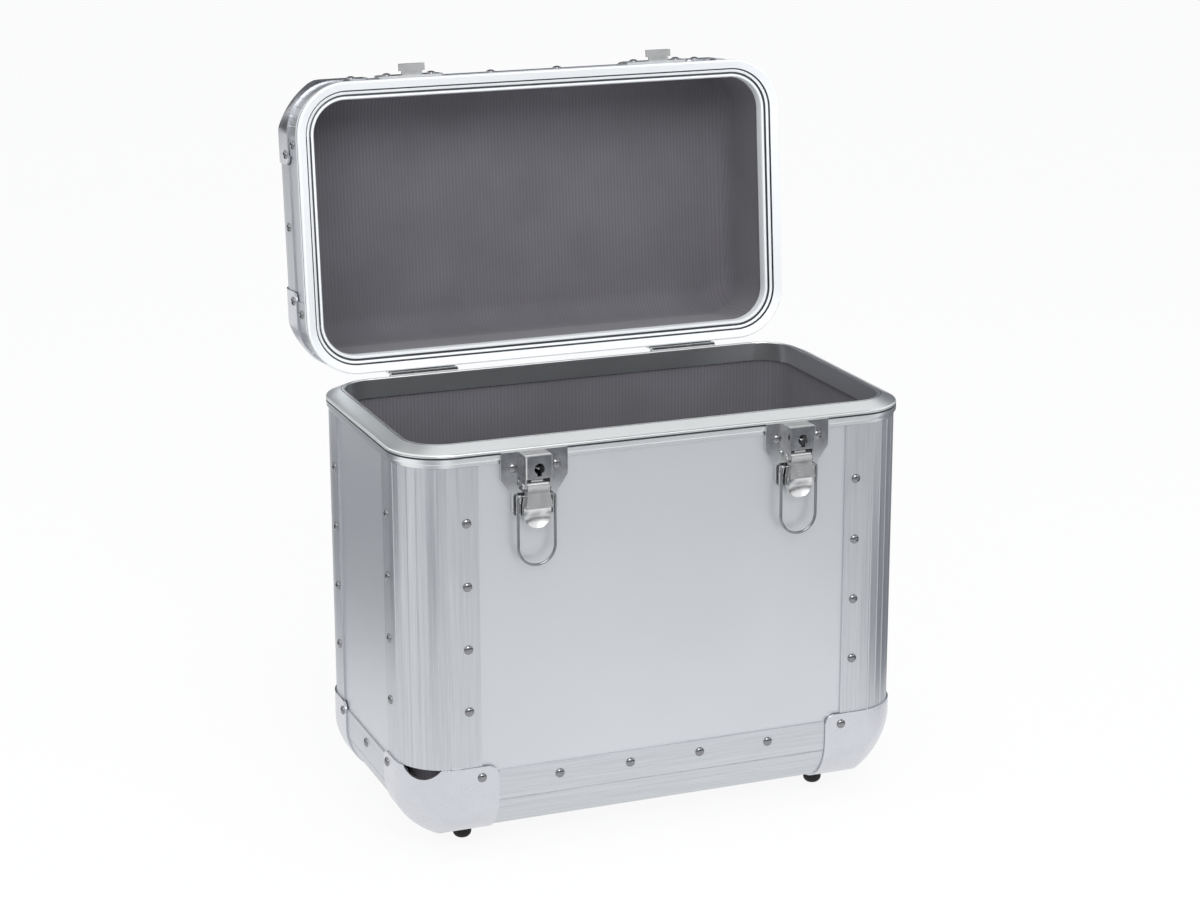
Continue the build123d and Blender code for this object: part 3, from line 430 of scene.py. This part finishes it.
handMade = ("body_rivets", "lid_rivets", "rubber_feet", "body_rim", "lid_rim", "body_lining", "lid_lining")
for name in sorted(nodes):
    if name in handMade:
        continue
    piece = copyOf(name)
    widthMm = next((width for start, width in brokenEdge.items() if name.startswith(start)), 0)
    if widthMm:
        breakEdges(piece, widthMm)
    finishPiece(piece, name, materialFor(name), smoothAngleFor(name))
print("CAD pieces finished")

# rims and linings, drawn in the shut case's own place and then opened with the lid

wall = {"halfWidthMm": 180, "halfDepthMm": 100, "cornerRadiusMm": 34, "cornerSteps": 14, "crownMm": 4.6}
hinge = next(joint for joint in frame["joints"] if joint["name"] == "lid_hinge")
pin = Vector(hinge["pos_m"])
opened = Matrix.Translation(pin) @ Matrix.Rotation(radians(-hinge["range_deg"][1]), 4, "X") @ Matrix.Translation(-pin)
rimLow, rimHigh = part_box("body_rim")
caseMiddle = Vector(((rimLow[0] + rimHigh[0]) / 2, (rimLow[1] + rimHigh[1]) / 2, rimHigh[2] - wall["crownMm"] * mm))
shut = Matrix.Translation(caseMiddle)

# section points are (out from the wall, above the parting line) in mm
# grooves are the parts of the section painted dark, partly grime and partly painted shade, as (from, to) outwards and
# (from, to) above
bodyRim = {"section": [(0, -9.2), (1.2, -9.2), (1.2, -6.9), (1.9, -6.8), (2.5, -6.5), (2.7, -5.9), (2.7, -3.1),
                       (1.7, -2.5), (2.7, -1.9), (2.7, -0.9), (2.4, -0.25), (1.8, 0.25), (-7.6, 4.25), (-7.9, 3.9),
                       (-8.2, 4.3), (-8.7, 4.55), (-9.3, 4.6), (-9.9, 4.4), (-10.2, 3.9), (-10.2, -9.2),
                       (-8.7, -9.2), (-8.7, -1.5), (0, -1.5)],
           "grooves": [(1.6, 2.65, -3.05, -1.95), (-8.2, -7.65, 3.8, 4.2)]}
lidRim = {"section": [(0, 13), (1.2, 13), (1.2, 7.2), (2, 7.1), (2.5, 6.8), (2.7, 6.2), (2.7, 4.9), (1.7, 4.3),
                      (2.7, 3.7), (2.7, 2.4), (2.3, 1.4), (1.5, 1), (-3.5, 3.36), (-3.7, 5.6), (-4.4, 5.6),
                      (-4.5, 4.3), (-4.9, 4.05), (-5.9, 4.55), (-6.35, 5), (-6.5, 6.6), (-7.7, 6.6), (-7.8, 5.6),
                      (-8.1, 5.25), (-9.2, 5.25), (-9.6, 5.6), (-10.2, 7.2), (-10.2, 13), (-8.7, 13), (-8.7, 8.2),
                      (0, 8.2)],
          "grooves": [(1.6, 2.65, 3.75, 4.85), (-4.48, -3.52, 3.4, 5.8), (-7.78, -6.4, 5.05, 6.8)]}
rimSmoothAngle = 26


def flatCurve(name, points):
    # a closed line through (x, y) points in mm
    data = bpy.data.curves.new(name, "CURVE")
    line = data.splines.new("POLY")
    line.points.add(len(points) - 1)
    for spot, (x, y) in zip(line.points, points):
        spot.co = (x * mm, y * mm, 0, 1)
    line.use_cyclic_u = True
    curve = bpy.data.objects.new(name, data)
    bpy.context.scene.collection.objects.link(curve)
    return curve


def wallLine():
    # the outside of the walls: straight runs joined by round corners
    radius = wall["cornerRadiusMm"]
    points = []
    for quarter, (signX, signY) in enumerate(((1, 1), (-1, 1), (-1, -1), (1, -1))):
        for step in range(wall["cornerSteps"] + 1):
            angle = (quarter + step / wall["cornerSteps"]) * pi / 2
            points.append((signX * (wall["halfWidthMm"] - radius) + radius * cos(angle),
                           signY * (wall["halfDepthMm"] - radius) + radius * sin(angle)))
    return points


def outOf(place):
    # how far a place lies outside the walls, in mm
    radius = wall["cornerRadiusMm"]
    x = abs(place.x) / mm - wall["halfWidthMm"] + radius
    y = abs(place.y) / mm - wall["halfDepthMm"] + radius
    return (max(x, 0) ** 2 + max(y, 0) ** 2) ** 0.5 + min(max(x, y), 0) - radius


def makeRim(name, look, material, place):
    # the section swept round the walls, with its grooves painted dark: grime and painted shade
    path = flatCurve(name + "Path", wallLine())
    section = flatCurve(name + "Section", look["section"])
    path.data.dimensions = "3D"
    path.data.twist_mode = "Z_UP"
    path.data.bevel_mode = "OBJECT"
    path.data.bevel_object = section
    selectOnly([path])
    bpy.ops.object.convert(target="MESH")
    bpy.data.objects.remove(section)
    bpy.ops.object.mode_set(mode="EDIT")
    bpy.ops.mesh.select_all(action="SELECT")
    bpy.ops.mesh.remove_doubles(threshold=weldMm * mm)
    bpy.ops.mesh.normals_make_consistent(inside=False)
    bpy.ops.object.mode_set(mode="OBJECT")
    finishPiece(path, name, material, rimSmoothAngle)
    # faces in the grooves get the dark metal: grime with painted shade
    path.data.materials.append(grooveDirtAndShadeMetal)
    for face in path.data.polygons:
        out, above = outOf(face.center), face.center.z / mm
        if any(a < out < b and low < above < high for a, b, low, high in look["grooves"]):
            face.material_index = 1
    path.data.transform(place)
    path.name = name + "Frame"


def selectFaces(piece, wanted):
    mesh = bmesh.from_edit_mesh(piece.data)
    bpy.ops.mesh.select_all(action="DESELECT")
    for face in mesh.faces:
        face.select_set(wanted(face))
    bmesh.update_edit_mesh(piece.data)


def selectEdges(piece, wanted):
    # wanted gets the places of an edge's two ends
    bpy.ops.mesh.select_mode(type="EDGE")
    bpy.ops.mesh.select_all(action="DESELECT")
    mesh = bmesh.from_edit_mesh(piece.data)
    for edge in mesh.edges:
        edge.select_set(wanted(edge.verts[0].co, edge.verts[1].co))
    bmesh.update_edit_mesh(piece.data)


lining = {"insetMm": 8.5, "uprightRadiusMm": 25.5, "uprightSteps": 12, "floorRadiusMm": 20, "floorSteps": 10,
          "clothMm": 0.7, "smoothAngle": 60}
near = 0.1 * mm


def makeLining(name, mouthUp, place):
    # the cloth-covered tray, open at its mouth, with soft inside corners
    node = nodes[name]
    heights = [(place.inverted() @ v.co).z for v in node.data.vertices]
    mouth, bed = (max(heights), min(heights)) if mouthUp else (min(heights), max(heights))
    # the bed is as thick as the lining's walls
    boardMm = lining["insetMm"] - (wall["halfWidthMm"] - max(v.co.x for v in node.data.vertices) / mm)
    bed += boardMm * mm if mouthUp else -boardMm * mm
    bpy.ops.object.select_all(action="DESELECT")
    bpy.ops.mesh.primitive_cube_add(size=2)
    tray = bpy.context.active_object
    bpy.ops.object.mode_set(mode="EDIT")
    bpy.ops.transform.resize(value=((wall["halfWidthMm"] - lining["insetMm"]) * mm,
                                    (wall["halfDepthMm"] - lining["insetMm"]) * mm, abs(mouth - bed) / 2),
                             center_override=(0, 0, 0))
    bpy.ops.transform.translate(value=(0, 0, (mouth + bed) / 2))
    selectFaces(tray, lambda face: abs(face.calc_center_median().z - mouth) < near)
    bpy.ops.mesh.delete(type="ONLY_FACE")
    selectEdges(tray, lambda a, b: abs(a.z - b.z) > near)
    bpy.ops.mesh.bevel(offset=lining["uprightRadiusMm"] * mm, segments=lining["uprightSteps"])
    selectEdges(tray, lambda a, b: abs(a.z - bed) < near and abs(b.z - bed) < near)
    bpy.ops.mesh.bevel(offset=lining["floorRadiusMm"] * mm, segments=lining["floorSteps"])
    bpy.ops.object.mode_set(mode="OBJECT")
    thickness = tray.modifiers.new("cloth", "SOLIDIFY")
    thickness.thickness = lining["clothMm"] * mm
    thickness.offset = 1
    bpy.ops.object.modifier_apply(modifier="cloth")
    tray.data.transform(place)
    tray.name = name + "Tray"
    finishPiece(tray, name, cloth, lining["smoothAngle"])


makeRim("body_rim", bodyRim, bodyRimMetal, shut)
makeRim("lid_rim", lidRim, lidRimMetal, opened @ shut)
makeLining("body_lining", True, shut)
makeLining("lid_lining", False, opened @ shut)
print("rims and linings made")

# rivets

rivetHead = {"radiusMm": 3.25, "heightMm": 1.7, "rings": 10, "segments": 20, "smoothAngle": 40}


def loosePieces(name):
    # the vertices of each separate solid of a node
    piece = copyOf(name)
    mesh = bmesh.new()
    mesh.from_mesh(piece.data)
    bpy.data.objects.remove(piece)
    seen, groups = set(), []
    for start in mesh.verts:
        if start in seen:
            continue
        group, queue = [], [start]
        seen.add(start)
        while queue:
            vertex = queue.pop()
            group.append(vertex.co.copy())
            for link in vertex.link_edges:
                other = link.other_vert(vertex)
                if other not in seen:
                    seen.add(other)
                    queue.append(other)
        groups.append(group)
    mesh.free()
    return groups


def seatOf(group):
    # where a rivet head sits and which way it faces: its base is its wide end
    points = np.array([list(p) for p in group])
    middle = points.mean(0)
    axis = np.linalg.svd(points - middle)[2][2]
    reach = (points - middle) @ axis
    radius = np.linalg.norm(points - middle - np.outer(reach, axis), axis=1)
    if radius[reach > 0].mean() > radius[reach < 0].mean():
        axis, reach = -axis, -reach
    return Vector(middle + axis * reach.min()), Vector(axis)


def makeDome():
    # half a ball, flattened to the height of a rivet's head
    bpy.ops.mesh.primitive_uv_sphere_add(segments=rivetHead["segments"], ring_count=2 * rivetHead["rings"],
                                         radius=rivetHead["radiusMm"] * mm)
    dome = bpy.context.active_object
    bpy.ops.object.mode_set(mode="EDIT")
    bpy.ops.mesh.select_all(action="SELECT")
    bpy.ops.mesh.bisect(plane_co=(0, 0, 0), plane_no=(0, 0, 1), use_fill=True, clear_inner=True)
    bpy.ops.mesh.select_all(action="SELECT")
    bpy.ops.transform.resize(value=(1, 1, rivetHead["heightMm"] / rivetHead["radiusMm"]), center_override=(0, 0, 0))
    bpy.ops.object.mode_set(mode="OBJECT")
    dome.select_set(False)
    return dome


def setRivets(name):
    dome = makeDome()
    copies = []
    for group in loosePieces(name):
        seat, facing = seatOf(group)
        turn = Vector((0, 0, 1)).rotation_difference(facing).to_matrix().to_4x4()
        head = bpy.data.objects.new("rivetHead", dome.data.copy())
        head.data.transform(Matrix.Translation(seat) @ turn)
        bpy.context.scene.collection.objects.link(head)
        copies.append(head)
    bpy.data.objects.remove(dome)
    selectOnly(copies)
    bpy.ops.object.join()
    copies[0].name = name + "Domes"
    finishPiece(copies[0], name, rivetMetal, rivetHead["smoothAngle"])


for name in ("body_rivets", "lid_rivets"):
    setRivets(name)
print("rivets set")

# feet

foot = {"baseRadiusMm": 9.5, "noseRadiusMm": 6.4, "baseHeightMm": 3.2, "heightMm": 11.6, "segments": 40,
        "noseRoundMm": 4.5, "noseSteps": 6, "baseRoundMm": 1.2, "baseSteps": 3, "smoothAngle": 50}


def addRod(radiusMm, depthMm, middleMm):
    # an upright rod on the z axis, with its middle at a height
    bpy.ops.mesh.primitive_cylinder_add(vertices=foot["segments"], radius=radiusMm * mm, depth=depthMm * mm,
                                        location=(0, 0, middleMm * mm))
    bpy.ops.object.transform_apply(location=True, rotation=True, scale=True)
    return bpy.context.active_object


def setFeet():
    feet = []
    for group in loosePieces("rubber_feet"):
        x = sum(p.x for p in group) / len(group)
        y = sum(p.y for p in group) / len(group)
        nose = addRod(foot["noseRadiusMm"], foot["heightMm"], foot["heightMm"] / 2)
        bpy.ops.object.mode_set(mode="EDIT")
        selectEdges(nose, lambda a, b: a.z < near and b.z < near)
        bpy.ops.mesh.bevel(offset=foot["noseRoundMm"] * mm, segments=foot["noseSteps"])
        bpy.ops.object.mode_set(mode="OBJECT")
        flange = addRod(foot["baseRadiusMm"], foot["baseHeightMm"], foot["heightMm"] - foot["baseHeightMm"] / 2)
        edge = flange.modifiers.new("edge", "BEVEL")
        edge.width = foot["baseRoundMm"] * mm
        edge.segments = foot["baseSteps"]
        edge.limit_method = "ANGLE"
        bpy.ops.object.modifier_apply(modifier="edge")
        for part in (nose, flange):
            part.data.transform(Matrix.Translation((x, y, 0)))
            feet.append(part)
    selectOnly(feet)
    bpy.ops.object.join()
    feet[0].name = "rubberFeet"
    finishPiece(feet[0], "rubber_feet", rubber, foot["smoothAngle"])


setFeet()
print("feet set")

# studio

studio = {"floor": "#f2f2f2", "floorSize": 40.0, "keptShadow": 0.1, "room": "#d9dce2", "matt": 0.9}
cardTones = {"grey": "#66686e", "black": "#1b1b1d"}
horizon = {"radius": 2.6, "low": 0.1, "high": 0.6, "segments": 96, "colour": cardTones["black"]}
# flags between two opposite corners, in metres: on the floor in front for the fittings and the top of the front
# panel, with a white band that the lever faces look down into; on the floor and upright behind for the sides, the
# round corners and the rim's left run; overhead for the finger tabs
flags = {"frontFlag": {"low": (-0.1, -1.35, 0.002), "high": (0.95, -0.72, 0.002), "colour": "#5f6165"},
         "leftFlag": {"low": (-1.9, 0.22, 0.002), "high": (-0.31, 1.05, 0.002), "colour": cardTones["grey"]},
         "nearLeftFlag": {"low": (-0.9, -1.15, 0.002), "high": (-0.32, -0.5, 0.002), "colour": cardTones["grey"]},
         "rightFlag": {"low": (0.36, -0.5, 0.002), "high": (1.9, 0.9, 0.002), "colour": cardTones["grey"]},
         "backFlag": {"low": (-0.5, 1.7, 0.25), "high": (0.6, 1.7, 3.4), "colour": "#28292c"},
         "backRightFlag": {"low": (0.6, 1.7, 0.25), "high": (2.6, 1.7, 2.4), "colour": cardTones["grey"]},
         "highFlag": {"low": (0.35, -1.15, 2.2), "high": (1.3, 0.2, 2.2), "colour": cardTones["black"]},
         "farHighFlag": {"low": (0.35, 1.15, 2.2), "high": (1.6, 1.7, 2.2), "colour": cardTones["black"]},
         "frontBand": {"low": (-0.1, -0.96, 0.003), "high": (0.95, -0.86, 0.003), "colour": "#f4f4f4"}}
lamps = {"key": {"place": (-0.3, -2.5, 2.1), "aim": (0, 0, 0.25), "size": 1.4, "watts": 33, "mirrored": True},
         "fill": {"place": (-1.7, -1.9, 1.3), "aim": (0, 0, 0.35), "size": 1.2, "watts": 12, "mirrored": False},
         "top": {"place": (0.1, -0.2, 2.4), "aim": (0, 0, 0.2), "size": 1.6, "watts": 12, "mirrored": False}}
caseView = {"place": (-0.6952, -1.8034, 0.7743), "lensMm": 84.57, "sensorMm": 36, "yaw": -21.447, "pitch": 15.704,
            "roll": -0.138}


def seenWhite(tree):
    # 1 where the eye, a mirror or glass looks straight at the backdrop
    path = addNode(tree, "ShaderNodeLightPath")
    two = addNode(tree, "ShaderNodeMath", {"operation": "MAXIMUM"},
                  {0: path.outputs["Is Camera Ray"], 1: path.outputs["Is Glossy Ray"]})
    return addNode(tree, "ShaderNodeMath", {"operation": "MAXIMUM"},
                   {0: two.outputs[0], 1: path.outputs["Is Transmission Ray"]}).outputs[0]


def makeFloor():
    # white sweep: mostly its own white, with part of the lit surface left in so that the shadow stays
    material, tree = newMaterial("paleFloor")
    lit = addNode(tree, "ShaderNodeBsdfPrincipled", {"Base Color": linear(studio["floor"]),
                                                     "Roughness": studio["matt"]})
    white = addNode(tree, "ShaderNodeEmission", {"Color": (1, 1, 1, 1), "Strength": 1.0})
    share = addNode(tree, "ShaderNodeMath", {"operation": "MULTIPLY", 1: 1 - studio["keptShadow"]},
                    {0: seenWhite(tree)})
    both = addNode(tree, "ShaderNodeMixShader", None, {"Fac": share.outputs[0], 1: lit.outputs[0],
                                                       2: white.outputs[0]})
    finishMaterial(material, tree, both)
    bpy.ops.mesh.primitive_plane_add(size=studio["floorSize"], location=(0, 0, 0))
    floor = bpy.context.active_object
    floor.name = "floor"
    floor.data.materials.append(material)


def makeWorld():
    world = bpy.data.worlds.new("softRoom")
    bpy.context.scene.world = world
    world.use_nodes = True
    tree = world.node_tree
    tree.nodes.clear()
    room = addNode(tree, "ShaderNodeBackground", {"Color": linear(studio["room"]), "Strength": 1.0})
    white = addNode(tree, "ShaderNodeBackground", {"Color": (1, 1, 1, 1), "Strength": 1.0})
    both = addNode(tree, "ShaderNodeMixShader", None, {"Fac": seenWhite(tree), 1: room.outputs[0],
                                                       2: white.outputs[0]})
    addNode(tree, "ShaderNodeOutputWorld", None, {"Surface": both.outputs[0]})


def hideFromEye(piece, name, colour):
    # matt card that only reflections see, which draws out an edge of bright metal
    material, tree = newMaterial(name)
    shader = addNode(tree, "ShaderNodeBsdfPrincipled", {"Base Color": linear(colour), "Roughness": studio["matt"]})
    piece.data.materials.append(finishMaterial(material, tree, shader))
    piece.name = name
    piece.visible_camera = False
    piece.visible_shadow = False
    piece.visible_diffuse = False


def makeFlag(name, look):
    (lowX, lowY, lowZ), (highX, highY, highZ) = look["low"], look["high"]
    bpy.ops.mesh.primitive_plane_add(size=1, location=(0, 0, 0))
    flag = bpy.context.active_object
    corners = ((lowX, lowY, lowZ), (highX, lowY, lowZ), (lowX, highY, highZ), (highX, highY, highZ))
    for vertex, corner in zip(flag.data.vertices, corners):
        vertex.co = corner
    hideFromEye(flag, name, look["colour"])


def makeHorizon():
    # a low dark ring around the set, so that plated pieces show a horizon
    bpy.ops.mesh.primitive_cylinder_add(vertices=horizon["segments"], radius=horizon["radius"],
                                        depth=horizon["high"] - horizon["low"], end_fill_type="NOTHING",
                                        location=(0, 0, (horizon["high"] + horizon["low"]) / 2))
    hideFromEye(bpy.context.active_object, "horizonFlag", horizon["colour"])


def makeLamp(name, look):
    data = bpy.data.lights.new(name, "AREA")
    data.size = look["size"]
    data.energy = look["watts"]
    lamp = bpy.data.objects.new(name, data)
    lamp.visible_glossy = look["mirrored"]
    lamp.location = look["place"]
    lamp.rotation_euler = (Vector(look["aim"]) - Vector(look["place"])).to_track_quat("-Z", "Y").to_euler()
    bpy.context.scene.collection.objects.link(lamp)


def makeCamera():
    data = bpy.data.cameras.new("caseView")
    data.lens = caseView["lensMm"]
    data.sensor_width = caseView["sensorMm"]
    camera = bpy.data.objects.new("caseView", data)
    camera.location = caseView["place"]
    turn = Matrix.Rotation(radians(caseView["yaw"]), 4, "Z") @ Matrix.Rotation(
        radians(90 - caseView["pitch"]), 4, "X") @ Matrix.Rotation(radians(caseView["roll"]), 4, "Z")
    camera.rotation_euler = turn.to_euler()
    bpy.context.scene.collection.objects.link(camera)
    bpy.context.scene.camera = camera


makeFloor()
makeWorld()
makeHorizon()
for name, look in flags.items():
    makeFlag(name, look)
for name, look in lamps.items():
    makeLamp(name, look)
makeCamera()
bpy.context.scene.view_settings.view_transform = "Standard"
print("studio set")
